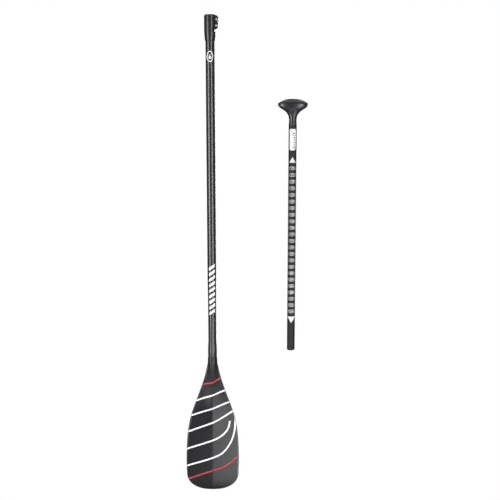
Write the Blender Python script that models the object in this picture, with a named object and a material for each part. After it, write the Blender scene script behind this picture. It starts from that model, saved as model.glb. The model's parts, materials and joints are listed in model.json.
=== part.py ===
"""Single blade paddle in two sections, pulled apart and held side by side.

The lower section is a hollow shaft with a clamp collar at its top and a blade at its foot. The
handle section is a thinner tube with a palm grip on top and a plug in its foot. The tube slides
into the shaft through the collar, and a cam lever behind the collar pinches it there.

Frame, in metres: +Z runs up along both shafts, +X points from the shaft to the handle tube, and
-Y is the face that carries the size scale. The origin is on the shaft's axis, at the lower rim of
the clamp collar. Pieces that touch keep a gap of GAP between their meshes.
"""

import math

import bmesh
import bpy
from mathutils import Matrix

GAP = 0.0003

# Shaft of the lower section: radii, and heights above the collar's lower rim
SHAFT_RADIUS = 0.0133
SHAFT_BORE = 0.0123
SHAFT_FOOT_RADIUS = 0.0124
SHAFT_FOOT_BORE = 0.0114
SHAFT_TOP_Z = 0.0270
SHAFT_TAPER_Z = (-0.6900, -0.7950)
BLADE_TOP_Z = -0.9555
SHAFT_END_Z = BLADE_TOP_Z + 0.0015
FERRULE_TOP_Z = -0.9150
# (wall, height above the ferrule's foot) from its foot up to its belly, and its wall at the top
FERRULE_WALLS = ((0.0002, 0.0), (0.0006, 0.0015), (0.0010, 0.0100))
FERRULE_TOP_WALL = 0.0004
PLUG_Z = (-0.6750, -0.6450)

# Clamp collar
COLLAR_RADIUS = 0.01685
COLLAR_FOOT_RADIUS = 0.0151
COLLAR_TOP_Z = 0.0723
COLLAR_BORE = 0.0139
SLEEVE_BORE = SHAFT_RADIUS + GAP
SLEEVE_TOP_Z = SHAFT_TOP_Z + 2 * GAP
FLEX_SLOT_Z = (0.0258, 0.0304)
FLEX_SLOT_X = 0.0060
SLIT_WIDTH = 0.0030
EAR_X = 0.0247
EAR_Y = 0.0100
EAR_FOOT_Z = 0.0310
# (radius, height of its centre, angle where its slope starts) of each rounded ear corner
EAR_FOOT = (0.0090, 0.0401, -59.0)
EAR_SHOULDER = (0.0080, 0.0642, 56.0)
BUSH_BORE = SHAFT_BORE
BUSH_RADIUS = COLLAR_BORE - GAP
BUSH_SLIT = 0.0020
BUSH_FLANGE_RADIUS = 0.0161
BUSH_TOP_Z = 0.0746

# Two M3 clamp bolts, the barrel pin that they screw into, and the cam lever round the pin
BOLT_X = 0.0199
BOLT_Z = {"upper": 0.0604, "lower": 0.0430}
BOLT_RADIUS = 0.0015
BOLT_HOLE = 0.0018
BOLT_HEAD_RADIUS = 0.00275
BOLT_HEAD_HEIGHT = 0.0030
BOLT_SOCKET_RADIUS = 0.00145
BOLT_SOCKET_DEPTH = 0.0016
BOLT_END = 0.0012
BOLT_HOLE_END = 0.0017
WASHER_RADIUS = 0.0035
WASHER_THICKNESS = 0.0006
CAM_PLATE_THICKNESS = 0.0012
CAM_PLATE_HALF = 0.0042
CAM_RADIUS = 0.0047
CAM_ARC = (215.0, 450.0)
CAM_OFFSET = 0.0005
PIN_RADIUS = 0.0026
PIN_Y = EAR_Y + CAM_PLATE_THICKNESS + 2 * GAP + CAM_RADIUS + CAM_OFFSET
PIN_Z = (0.0375, 0.0710)
LEVER_Z = (0.0385, 0.0700)
LEVER_RADII = (0.0196, 0.0232)
# Where the lever's inner and outer faces leave the cam, where they end, and its thumb lip
LEVER_START_ANGLES = (62.0, 66.0)
LEVER_TIP_ANGLE = 124.0
LEVER_LIP_ANGLES = (129.0, 132.0)
LEVER_LIP_RADII = (0.0216, 0.0244)
LEVER_SLOT_HALF = 0.0023
LEVER_SLOT_X = 0.0030

# Handle section, which stands HANDLE_X beside the shaft
HANDLE_X = 0.2440
TUBE_RADIUS = 0.0120
TUBE_BORE = 0.0110
TUBE_Z = (-0.9320, -0.2434)
TUBE_END_Z = -0.9360
PLUG_STEM_TOP_Z = -0.9240
FLOAT_RADIUS = 0.0065
FLOAT_Z = (-0.9235, -0.9115)
SPIGOT_Z = (-0.2880, -0.2130)
SPIGOT_NECK_RADIUS = 0.0089
SPIGOT_BORE = 0.0072
GRIP_WALL = 0.0023
GRIP_FOOT_Z = -0.2431
GRIP_TOP_Z = -0.1661
# Half width, half depth and height of the grip, from its foot up to the rim of its cap
GRIP_SECTIONS = (
    (0.0121, 0.0121, -0.2431),
    (0.0112, 0.0112, -0.2310),
    (0.0124, 0.0119, -0.2196),
    (0.0162, 0.0130, -0.2108),
    (0.0249, 0.0149, -0.2020),
    (0.0381, 0.0172, -0.1932),
    (0.0433, 0.0181, -0.1874),
    (0.0442, 0.0182, -0.1822),
)

# Blade: half widths at distances below its top, then a rounded tip
BLADE_HALF_WIDTHS = (
    (0.0000, 0.0134),
    (0.0300, 0.0169),
    (0.0650, 0.0246),
    (0.1030, 0.0371),
    (0.1445, 0.0528),
    (0.1850, 0.0670),
    (0.2250, 0.0760),
    (0.2700, 0.0806),
    (0.3285, 0.0823),
    (0.3665, 0.0810),
)
BLADE_TIP_LENGTH = 0.0542
BLADE_TIP_POWER = 2.3
BLADE_ROWS = 20
BLADE_TIP_ROWS = 10
BLADE_COLUMNS = 14
BLADE_CANT = math.radians(8.0)
CANT_START = 0.0280
CANT_BLEND = 0.0400
NECK_HEIGHT = 0.01245
EDGE_HALF = (0.00015, 0.0016)
FRONT_RIDGE = 0.0032
REAR_RIDGE = 0.0008
FRONT_SPINE_LENGTH = 0.2900
REAR_SPINE_LENGTH = 0.1700
SKIN = 0.0009
CORE_EDGE = 0.0004
RAIL_WIDTH = 0.0030
RAIL_START = 0.0240
CORE_START = 0.0330
SPIGOT_SHOULDER_Z = BLADE_TOP_Z - 0.0295
SPIGOT_STEM_RADIUS = 0.0060
SPIGOT_STEM_Z = BLADE_TOP_Z - 0.0475
BLADE_SPIGOT_TOP_Z = -0.8800

ROUND = 48


# ---------------------------------------------------------------- shared tools


def clear_scene():
    for obj in list(bpy.data.objects):
        bpy.data.objects.remove(obj, do_unlink=True)


def material(name, colour, roughness, metallic=0.0):
    mat = bpy.data.materials.new(name)
    mat.use_nodes = True
    shader = mat.node_tree.nodes["Principled BSDF"]
    shader.inputs["Base Color"].default_value = (*colour, 1.0)
    shader.inputs["Roughness"].default_value = roughness
    shader.inputs["Metallic"].default_value = metallic
    return mat


def smoothstep(value, start, length):
    """Rises from 0 to 1 over LENGTH, from START on."""
    t = min(max((value - start) / length, 0.0), 1.0)
    return t * t * (3.0 - 2.0 * t)


def circle_points(radius, start, end, steps, centre=(0.0, 0.0)):
    """Points along an arc, angles in degrees, both ends included."""
    angles = [math.radians(start + (end - start) * i / steps) for i in range(steps + 1)]
    return [(centre[0] + radius * math.cos(a), centre[1] + radius * math.sin(a)) for a in angles]


def finish_object(name, bm, mat, parent=None, location=(0.0, 0.0, 0.0)):
    bmesh.ops.remove_doubles(bm, verts=bm.verts, dist=1e-7)
    bmesh.ops.recalc_face_normals(bm, faces=bm.faces)
    mesh = bpy.data.meshes.new(name)
    bm.to_mesh(mesh)
    bm.free()
    mesh.materials.append(mat)
    mesh.shade_smooth()
    mesh.set_sharp_from_angle(angle=math.radians(35))
    obj = bpy.data.objects.new(name, mesh)
    bpy.context.scene.collection.objects.link(obj)
    obj.parent = parent
    obj.location = location
    return obj


def empty(name, location):
    """A guide on a joint's axis, which the moving pieces hang from."""
    obj = bpy.data.objects.new(name, None)
    bpy.context.scene.collection.objects.link(obj)
    obj.location = location
    return obj


def lathe(profile, closed=True, segments=ROUND):
    """Turns (radius, height) points round Z. An open profile starts and ends on the axis."""
    bm = bmesh.new()
    rings = []
    for radius, z in profile:
        if radius == 0.0:
            rings.append([bm.verts.new((0.0, 0.0, z))] * segments)
            continue
        ring = circle_points(radius, 0.0, 360.0, segments)[:-1]
        rings.append([bm.verts.new((x, y, z)) for x, y in ring])
    pairs = list(zip(rings, rings[1:]))
    if closed:
        pairs.append((rings[-1], rings[0]))
    for low, high in pairs:
        for i in range(segments):
            j = (i + 1) % segments
            corners = dict.fromkeys((low[i], low[j], high[j], high[i]))
            bm.faces.new(list(corners))
    return bm


def prism(outline, low, high, axis="Z"):
    """Extrudes a plan outline from LOW to HIGH along Z, or an (x, z) outline along Y."""
    bm = bmesh.new()
    place = {"Z": lambda a, b, c: (a, b, c), "Y": lambda a, b, c: (a, c, b)}[axis]
    bottom = [bm.verts.new(place(a, b, low)) for a, b in outline]
    top = [bm.verts.new(place(a, b, high)) for a, b in outline]
    bm.faces.new(bottom)
    bm.faces.new(top)
    for i in range(len(outline)):
        j = (i + 1) % len(outline)
        bm.faces.new((bottom[i], bottom[j], top[j], top[i]))
    return bm


def box(x, y, z):
    return prism(((x[0], y[0]), (x[1], y[0]), (x[1], y[1]), (x[0], y[1])), z[0], z[1])


def rod_along_y(radius, x, z, y, segments=24):
    """A round bar along Y from y[0] to y[1]."""
    bm = bmesh.new()
    middle = Matrix.Translation((x, (y[0] + y[1]) / 2, z))
    turn = Matrix.Rotation(math.radians(90), 4, "X")
    bmesh.ops.create_cone(bm, cap_ends=True, segments=segments, radius1=radius, radius2=radius,
                          depth=y[1] - y[0], matrix=middle @ turn)
    return bm


def ladder_loft(rows):
    """Closes a solid between two lofted faces. Each row is a pair of point lists of one length."""
    bm = bmesh.new()
    grid = [[[bm.verts.new(p) for p in side] for side in row] for row in rows]
    for (near_a, near_b), (far_a, far_b) in zip(grid, grid[1:]):
        for i in range(len(near_a) - 1):
            bm.faces.new((near_a[i], near_a[i + 1], far_a[i + 1], far_a[i]))
            bm.faces.new((near_b[i], far_b[i], far_b[i + 1], near_b[i + 1]))
        for i in (0, -1):
            bm.faces.new((near_a[i], far_a[i], far_b[i], near_b[i]))
    for side_a, side_b in (grid[0], grid[-1]):
        for i in range(len(side_a) - 1):
            bm.faces.new((side_a[i], side_b[i], side_b[i + 1], side_a[i + 1]))
    return bm


def combine(obj, name, bm, operation):
    """Adds a Boolean with a hidden helper solid."""
    helper = finish_object(name, bm, obj.data.materials[0], obj.parent, obj.location)
    helper.hide_render = True
    helper.display_type = "WIRE"
    modifier = obj.modifiers.new(name, "BOOLEAN")
    modifier.operation = operation
    modifier.solver = "EXACT"
    modifier.object = helper


# ---------------------------------------------------------------- shaft


def lower_shaft(mat):
    profile = (
        (SHAFT_RADIUS, SHAFT_TOP_Z),
        (SHAFT_RADIUS, SHAFT_TAPER_Z[0]),
        (SHAFT_FOOT_RADIUS, SHAFT_TAPER_Z[1]),
        (SHAFT_FOOT_RADIUS, SHAFT_END_Z),
        (SHAFT_FOOT_BORE, SHAFT_END_Z),
        (SHAFT_FOOT_BORE, SHAFT_TAPER_Z[1]),
        (SHAFT_BORE, SHAFT_TAPER_Z[0]),
        (SHAFT_BORE, SHAFT_TOP_Z),
    )
    return finish_object("lower_shaft", lathe(profile), mat)


def shaft_ferrule(mat):
    bore = SHAFT_FOOT_RADIUS + GAP
    foot = BLADE_TOP_Z + GAP
    profile = [(bore + wall, foot + height) for wall, height in FERRULE_WALLS]
    profile += [(bore + FERRULE_TOP_WALL, FERRULE_TOP_Z), (bore, FERRULE_TOP_Z), (bore, foot)]
    return finish_object("shaft_ferrule", lathe(profile), mat)


def shaft_plug(mat):
    radius = SHAFT_BORE - GAP
    chamfer = 0.0010
    profile = (
        (0.0, PLUG_Z[0]),
        (radius - chamfer, PLUG_Z[0]),
        (radius, PLUG_Z[0] + chamfer),
        (radius, PLUG_Z[1] - chamfer),
        (radius - chamfer, PLUG_Z[1]),
        (0.0, PLUG_Z[1]),
    )
    return finish_object("shaft_plug", lathe(profile, closed=False), mat)


# ---------------------------------------------------------------- clamp


def ear_outline():
    """The ears from the front, as (x, z): round corners, a sloped shoulder and a sloped foot."""

    def corner(radius, z, slope, start, end):
        points = circle_points(radius, start, end, 6, (EAR_X - radius, z))
        x, height = points[0] if slope < 0.0 else points[-1]
        level = EAR_FOOT_Z if slope < 0.0 else COLLAR_TOP_Z
        run = (level - height) * math.tan(math.radians(slope))
        return points, (x - run, level)

    foot, foot_end = corner(*EAR_FOOT, EAR_FOOT[2], 0.0)
    shoulder, shoulder_end = corner(*EAR_SHOULDER, 0.0, EAR_SHOULDER[2])
    return [(0.0, EAR_FOOT_Z), foot_end, *foot, *shoulder, shoulder_end, (0.0, COLLAR_TOP_Z)]


def clamp_collar(mat):
    """A sleeve on the shaft below, and a split ring with two ears above."""
    chamfer = 0.0008
    outside = (
        (0.0, 0.0),
        (COLLAR_FOOT_RADIUS - chamfer, 0.0),
        (COLLAR_FOOT_RADIUS, chamfer),
        (COLLAR_RADIUS, FLEX_SLOT_Z[0]),
        (COLLAR_RADIUS, COLLAR_TOP_Z - chamfer),
        (COLLAR_RADIUS - chamfer, COLLAR_TOP_Z),
        (0.0, COLLAR_TOP_Z),
    )
    obj = finish_object("clamp_collar", lathe(outside, closed=False), mat)
    combine(obj, "ear_block", prism(ear_outline(), -EAR_Y, EAR_Y, "Y"), "UNION")
    past = 0.0100
    bore = (
        (0.0, -past),
        (SLEEVE_BORE, -past),
        (SLEEVE_BORE, SLEEVE_TOP_Z),
        (COLLAR_BORE, SLEEVE_TOP_Z),
        (COLLAR_BORE, COLLAR_TOP_Z + past),
        (0.0, COLLAR_TOP_Z + past),
    )
    combine(obj, "collar_bore", lathe(bore, closed=False), "DIFFERENCE")
    wide = EAR_X + past
    slot = box((FLEX_SLOT_X, wide), (-wide, wide), FLEX_SLOT_Z)
    combine(obj, "flex_slot", slot, "DIFFERENCE")
    half = SLIT_WIDTH / 2
    slit = box((FLEX_SLOT_X, wide), (-half, half), (sum(FLEX_SLOT_Z) / 2, COLLAR_TOP_Z + past))
    combine(obj, "ear_slit", slit, "DIFFERENCE")
    for place, z in BOLT_Z.items():
        hole = rod_along_y(BOLT_HOLE, BOLT_X, z, (-EAR_Y - past, EAR_Y + past))
        combine(obj, "ear_hole_" + place, hole, "DIFFERENCE")
    return obj


def collar_bush(mat):
    """The split liner between the collar and the handle tube, with a flange at the mouth."""
    lead = 0.0006
    profile = (
        (BUSH_BORE, SLEEVE_TOP_Z + GAP),
        (BUSH_RADIUS, SLEEVE_TOP_Z + GAP),
        (BUSH_RADIUS, COLLAR_TOP_Z + GAP),
        (BUSH_FLANGE_RADIUS, COLLAR_TOP_Z + GAP),
        (BUSH_FLANGE_RADIUS, BUSH_TOP_Z - lead),
        (BUSH_FLANGE_RADIUS - lead, BUSH_TOP_Z),
        (BUSH_BORE + lead, BUSH_TOP_Z),
        (BUSH_BORE, BUSH_TOP_Z - lead),
    )
    obj = finish_object("collar_bush", lathe(profile), mat)
    half = BUSH_SLIT / 2
    slit = box((0.0, 2 * BUSH_FLANGE_RADIUS), (-half, half), (0.0, 2 * BUSH_TOP_Z))
    combine(obj, "bush_slit", slit, "DIFFERENCE")
    return obj


def clamp_bolt(place, mat):
    """A socket-head bolt along Y, with its head on the front ear."""
    z = BOLT_Z[place]
    neck = -EAR_Y - WASHER_THICKNESS - 2 * GAP
    face = neck - BOLT_HEAD_HEIGHT
    obj = finish_object("clamp_bolt_" + place,
                        rod_along_y(BOLT_HEAD_RADIUS, BOLT_X, z, (face, neck)), mat)
    past = 0.0010
    shank = rod_along_y(BOLT_RADIUS, BOLT_X, z, (neck - past, PIN_Y + BOLT_END), 16)
    combine(obj, "bolt_shank_" + place, shank, "UNION")
    socket = rod_along_y(BOLT_SOCKET_RADIUS, BOLT_X, z,
                         (face - past, face + BOLT_SOCKET_DEPTH), 6)
    combine(obj, "bolt_socket_" + place, socket, "DIFFERENCE")
    return obj


def bolt_washer(place, mat):
    z = BOLT_Z[place]
    back = -EAR_Y - GAP
    obj = finish_object("bolt_washer_" + place,
                        rod_along_y(WASHER_RADIUS, BOLT_X, z, (back - WASHER_THICKNESS, back)), mat)
    hole = rod_along_y(BOLT_HOLE, BOLT_X, z, (-2 * EAR_Y, 0.0))
    combine(obj, "washer_hole_" + place, hole, "DIFFERENCE")
    return obj


def cam_plate(mat):
    """The steel plate on the rear ear that the cam presses on."""
    face = EAR_Y + GAP
    obj = finish_object("cam_plate", box((BOLT_X - CAM_PLATE_HALF, BOLT_X + CAM_PLATE_HALF),
                                         (face, face + CAM_PLATE_THICKNESS), LEVER_Z), mat)
    for place, z in BOLT_Z.items():
        hole = rod_along_y(BOLT_HOLE, BOLT_X, z, (0.0, 2 * EAR_Y))
        combine(obj, "plate_hole_" + place, hole, "DIFFERENCE")
    return obj


def lever_pivot_pin(mat):
    """The barrel that both bolts screw into, and that the lever turns on."""
    chamfer = 0.0004
    profile = (
        (0.0, PIN_Z[0]),
        (PIN_RADIUS - chamfer, PIN_Z[0]),
        (PIN_RADIUS, PIN_Z[0] + chamfer),
        (PIN_RADIUS, PIN_Z[1] - chamfer),
        (PIN_RADIUS - chamfer, PIN_Z[1]),
        (0.0, PIN_Z[1]),
    )
    obj = finish_object("lever_pivot_pin", lathe(profile, closed=False, segments=24), mat,
                        location=(BOLT_X, PIN_Y, 0.0))
    for place, z in BOLT_Z.items():
        hole = rod_along_y(BOLT_HOLE, 0.0, z, (-2 * PIN_RADIUS, BOLT_HOLE_END))
        combine(obj, "pin_hole_" + place, hole, "DIFFERENCE")
    return obj


def clamp_lever(mat, pivot):
    """Three cam knuckles on the pin, and a curved handle that lies round the collar's back."""
    inner, outer = LEVER_RADII
    cam = circle_points(CAM_RADIUS, *CAM_ARC, 16, (BOLT_X, PIN_Y - CAM_OFFSET))
    back = circle_points(outer, LEVER_START_ANGLES[1], LEVER_TIP_ANGLE, 12)
    lip = circle_points(LEVER_LIP_RADII[1], *LEVER_LIP_ANGLES, 1)
    lip += circle_points(LEVER_LIP_RADII[0], *reversed(LEVER_LIP_ANGLES), 1)[:1]
    front = circle_points(inner, LEVER_TIP_ANGLE, LEVER_START_ANGLES[0], 12)
    plan = [(x - BOLT_X, y - PIN_Y) for x, y in cam + back + lip + front]
    obj = finish_object("clamp_lever", prism(plan, *LEVER_Z), mat, pivot)
    past = 0.0050
    bore_radius = PIN_RADIUS + GAP
    bore = ((0.0, LEVER_Z[0] - past), (bore_radius, LEVER_Z[0] - past),
            (bore_radius, LEVER_Z[1] + past), (0.0, LEVER_Z[1] + past))
    combine(obj, "lever_bore", lathe(bore, closed=False, segments=24), "DIFFERENCE")
    for place, z in BOLT_Z.items():
        slot = box((-LEVER_SLOT_X, CAM_RADIUS + past), (-CAM_RADIUS - past, CAM_RADIUS + past),
                   (z - LEVER_SLOT_HALF, z + LEVER_SLOT_HALF))
        combine(obj, "lever_slot_" + place, slot, "DIFFERENCE")
    return obj


# ---------------------------------------------------------------- blade


def blade_half_width(distance):
    """Half width at DISTANCE below the blade's top, on a smooth curve through the table."""
    table = BLADE_HALF_WIDTHS
    count = len(table)
    for i in range(count - 1):
        if distance <= table[i + 1][0] or i == count - 2:
            break
    (d0, w0), (d1, w1) = table[i], table[i + 1]

    def slope(k):
        low, high = table[max(k - 1, 0)], table[min(k + 1, count - 1)]
        return (high[1] - low[1]) / (high[0] - low[0])

    span = d1 - d0
    t = (distance - d0) / span
    start, end = slope(i) * span, slope(i + 1) * span
    rise = w1 - w0
    return w0 + t * (start + t * (3 * rise - 2 * start - end + t * (start + end - 2 * rise)))


def blade_outline():
    """Right-hand edge as (half width, distance below the blade's top), from the neck to the tip."""
    shoulder, width = BLADE_HALF_WIDTHS[-1]
    edge = []
    for i in range(BLADE_ROWS):
        distance = shoulder * i / BLADE_ROWS
        edge.append((blade_half_width(distance), distance))
    power = 2.0 / BLADE_TIP_POWER
    for i in range(BLADE_TIP_ROWS + 1):
        t = math.radians(90.0) * i / BLADE_TIP_ROWS
        across = max(math.cos(t), 0.0) ** power
        edge.append((width * across, shoulder + BLADE_TIP_LENGTH * math.sin(t) ** power))
    return edge


def inward_normals(edge):
    normals = []
    for i in range(len(edge)):
        before = edge[max(i - 1, 0)]
        after = edge[i + 1] if i + 1 < len(edge) else (-edge[i - 1][0], edge[i - 1][1])
        dx, dz = after[0] - before[0], after[1] - before[1]
        length = math.hypot(dx, dz)
        normals.append((-dz / length, dx / length))
    return normals


def rail_inset(distance):
    return RAIL_WIDTH * smoothstep(distance, 0.0120, 0.0300)


def edge_half(distance):
    return EDGE_HALF[0] + (EDGE_HALF[1] - EDGE_HALF[0]) * smoothstep(distance, 0.0, 0.0400)


def blade_middle(distance):
    """How far the blade's middle lies in front of the shaft's axis."""
    past = max(distance - CANT_START, 0.0)
    if past < CANT_BLEND:
        return -math.tan(BLADE_CANT) * past * past / (2 * CANT_BLEND)
    return -math.tan(BLADE_CANT) * (past - CANT_BLEND / 2)


def half_height(share, distance, half_width, ridge, spine_length):
    """Half thickness at SHARE of the half width: round at the neck, a ridged spine below it."""
    share = min(abs(share), 1.0)
    spine = NECK_HEIGHT * (1.0 - smoothstep(distance, 0.0100, spine_length)) ** 1.2
    roundness = 2.0 - 0.5 * smoothstep(distance, 0.0, 0.1200)
    narrowness = 0.5 + 3.5 * smoothstep(distance, 0.0050, 0.1600)
    widest = BLADE_HALF_WIDTHS[-2][1]
    tent = ridge * smoothstep(distance, 0.0600, 0.1600) * half_width / widest
    return (edge_half(distance) + tent * (1.0 - share)
            + spine * (1.0 - share ** roundness) ** narrowness)


def section_points(half_width, distance, ridge, spine_length):
    """(x, half height) pairs across the blade, closer together towards both edges."""
    points = []
    for i in range(BLADE_COLUMNS + 1):
        share = -math.cos(math.pi * i / BLADE_COLUMNS)
        points.append((share * half_width,
                       half_height(share, distance, half_width, ridge, spine_length)))
    return points


def inset_points(points, depth):
    """The same section, DEPTH further in along its normals."""
    inner = []
    for i, (x, y) in enumerate(points):
        before, after = points[max(i - 1, 0)], points[min(i + 1, len(points) - 1)]
        dx, dy = after[0] - before[0], after[1] - before[1]
        length = math.hypot(dx, dy)
        inner.append((x + depth * dy / length, max(y - depth * dx / length, EDGE_HALF[0])))
    return inner


def skin_rows():
    """(half width, distance) of each skin row, inside the rail."""
    edge = blade_outline()
    rows = []
    for (half, distance), (nx, nz) in zip(edge[:-1], inward_normals(edge)):
        inset = rail_inset(distance)
        rows.append((half + nx * inset, distance + nz * inset))
    return rows


def blade_skin(name, side, ridge, spine_length, mat):
    rows = []
    for half_width, distance in skin_rows():
        outer = section_points(half_width, distance, ridge, spine_length)
        inner = inset_points(outer, SKIN)
        middle, z = blade_middle(distance), BLADE_TOP_Z - distance
        rows.append([[(x, middle + side * y, z) for x, y in points] for points in (outer, inner)])
    return finish_object(name, ladder_loft(rows), mat)


def core_half_height(x, distance, half_width, ridge, spine_length):
    """The skin's height at X, less the skin and the gap measured square to the surface."""
    step = 0.0001
    here = half_height(x / half_width, distance, half_width, ridge, spine_length)
    ahead = half_height((abs(x) + step) / half_width, distance, half_width, ridge, spine_length)
    return here - (SKIN + GAP) * math.hypot(1.0, (ahead - here) / step)


def core_half_width(distance, half_width):
    """The widest X where both halves of the core are still CORE_EDGE thick."""
    sides = ((FRONT_RIDGE, FRONT_SPINE_LENGTH), (REAR_RIDGE, REAR_SPINE_LENGTH))
    for i in range(200):
        x = half_width * (0.998 - i / 250.0)
        if all(core_half_height(x, distance, half_width, *side) >= CORE_EDGE for side in sides):
            return x
    raise ValueError("no core fits at %.4f" % distance)


def blade_core(mat):
    rows = []
    for half_width, distance in skin_rows():
        if distance < CORE_START:
            continue
        widest = core_half_width(distance, half_width)
        front, rear = [], []
        for i in range(BLADE_COLUMNS + 1):
            x = -widest * math.cos(math.pi * i / BLADE_COLUMNS)
            middle, z = blade_middle(distance), BLADE_TOP_Z - distance
            ahead = core_half_height(x, distance, half_width, FRONT_RIDGE, FRONT_SPINE_LENGTH)
            behind = core_half_height(x, distance, half_width, REAR_RIDGE, REAR_SPINE_LENGTH)
            front.append((x, middle - ahead, z))
            rear.append((x, middle + behind, z))
        rows.append((front, rear))
    obj = finish_object("blade_core", ladder_loft(rows), mat)
    radius = SPIGOT_STEM_RADIUS + GAP
    foot = SPIGOT_STEM_Z - GAP
    socket = ((0.0, foot), (radius, foot), (radius, BLADE_TOP_Z), (0.0, BLADE_TOP_Z))
    combine(obj, "core_socket", lathe(socket, closed=False), "DIFFERENCE")
    return obj


def blade_edge_rail(mat):
    """The hard strip round the blade, from one side of the neck to the other."""
    edge = blade_outline()
    half_path = [row for row in zip(edge, inward_normals(edge)) if row[0][1] >= RAIL_START]
    rows = []
    for side in (1.0, -1.0):
        path = half_path if side > 0 else half_path[-2::-1]
        for (half, distance), (nx, nz) in path:
            width, thick = rail_inset(distance) - GAP, edge_half(distance)
            outer, inner = [], []
            for depth, height in ((0.4, -1.0), (0.1, -0.7), (0.0, 0.0), (0.1, 0.7), (0.4, 1.0)):
                for points, inward in ((outer, width * depth), (inner, width)):
                    down = distance + nz * inward
                    y = blade_middle(down) + thick * height
                    points.append((side * (half + nx * inward), y, BLADE_TOP_Z - down))
            rows.append((outer, inner))
    return finish_object("blade_edge_rail", ladder_loft(rows), mat)


def blade_spigot(mat):
    """The stub that joins the blade to the shaft."""
    radius = SHAFT_FOOT_BORE - GAP
    chamfer = 0.0010
    profile = (
        (0.0, SPIGOT_STEM_Z),
        (SPIGOT_STEM_RADIUS, SPIGOT_STEM_Z),
        (SPIGOT_STEM_RADIUS, SPIGOT_SHOULDER_Z),
        (radius - chamfer, SPIGOT_SHOULDER_Z),
        (radius, SPIGOT_SHOULDER_Z + chamfer),
        (radius, BLADE_SPIGOT_TOP_Z - chamfer),
        (radius - chamfer, BLADE_SPIGOT_TOP_Z),
        (0.0, BLADE_SPIGOT_TOP_Z),
    )
    return finish_object("blade_spigot", lathe(profile, closed=False), mat)


# ---------------------------------------------------------------- handle section


def handle_tube(mat, parent):
    profile = (
        (TUBE_RADIUS, TUBE_Z[1]),
        (TUBE_RADIUS, TUBE_Z[0]),
        (TUBE_BORE, TUBE_Z[0]),
        (TUBE_BORE, TUBE_Z[1]),
    )
    return finish_object("handle_tube", lathe(profile), mat, parent)


def tube_end_plug(mat, parent):
    """The rounded plug that closes the tube's foot."""
    stem = TUBE_BORE - GAP
    rim = TUBE_Z[0] - GAP
    bevel = 0.0028
    rounded = circle_points(bevel, -90.0, 0.0, 4, (TUBE_RADIUS - bevel, TUBE_END_Z + bevel))
    profile = [(0.0, TUBE_END_Z), *rounded, (TUBE_RADIUS, rim), (stem, rim),
               (stem, PLUG_STEM_TOP_Z), (0.0, PLUG_STEM_TOP_Z)]
    return finish_object("tube_end_plug", lathe(profile, closed=False), mat, parent)


def tube_float(mat, parent):
    """The foam float inside the tube, which the tube slides over."""
    bevel = 0.0020
    low, high = FLOAT_Z
    across = FLOAT_RADIUS - bevel
    foot = circle_points(bevel, -90.0, 0.0, 3, (across, low + bevel))
    head = circle_points(bevel, 0.0, 90.0, 3, (across, high - bevel))
    profile = [(0.0, low), *foot, *head, (0.0, high)]
    return finish_object("tube_float", lathe(profile, closed=False, segments=24), mat, parent)


def grip_spigot(mat, parent):
    """The stepped tube that joins the grip to the handle tube."""
    radius = TUBE_BORE - GAP
    profile = (
        (radius, SPIGOT_Z[0]),
        (radius, TUBE_Z[1]),
        (SPIGOT_NECK_RADIUS, TUBE_Z[1]),
        (SPIGOT_NECK_RADIUS, SPIGOT_Z[1]),
        (SPIGOT_BORE, SPIGOT_Z[1]),
        (SPIGOT_BORE, SPIGOT_Z[0]),
    )
    return finish_object("grip_spigot", lathe(profile), mat, parent)


def grip_profile():
    """(half width, half depth, height) from the grip's foot over its rim to the crown."""
    width, depth, rim = GRIP_SECTIONS[-1]
    crown = []
    steps = 6
    for i in range(1, steps + 1):
        t = math.radians(90.0) * i / steps
        crown.append((width * math.cos(t), depth * math.cos(t),
                      rim + (GRIP_TOP_Z - rim) * math.sin(t)))
    crown[-1] = (0.0, 0.0, GRIP_TOP_Z)
    return list(GRIP_SECTIONS) + crown


def grip_inner_profile(profile):
    """The inside of the grip's wall, GRIP_WALL in from the outline's normals."""
    inner = []
    for i, (width, depth, z) in enumerate(profile):
        before = profile[max(i - 1, 0)]
        after = profile[min(i + 1, len(profile) - 1)]
        dw, dz = after[0] - before[0], after[2] - before[2]
        length = math.hypot(dw, dz)
        in_w, in_z = GRIP_WALL * dz / length, -GRIP_WALL * dw / length
        inner.append((width - in_w, depth - in_w, z - in_z))
    inner[0] = (profile[0][0] - GRIP_WALL, profile[0][1] - GRIP_WALL, GRIP_FOOT_Z)
    inner[-1] = (0.0, 0.0, GRIP_TOP_Z - GRIP_WALL)
    return inner


def grip_half(name, side, mat, parent):
    """One moulded shell of the grip, from the parting plane out."""
    outer = grip_profile()
    inner = grip_inner_profile(outer)
    rows = []
    steps = 16
    for i in range(steps + 1):
        t = math.pi * i / steps
        across, ahead = math.cos(t), math.sin(t)
        rows.append([[(w * across, side * (GAP / 2 + d * ahead), z) for w, d, z in profile]
                     for profile in (outer, inner)])
    return finish_object(name, ladder_loft(rows), mat, parent)


# ---------------------------------------------------------------- the paddle


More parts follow.
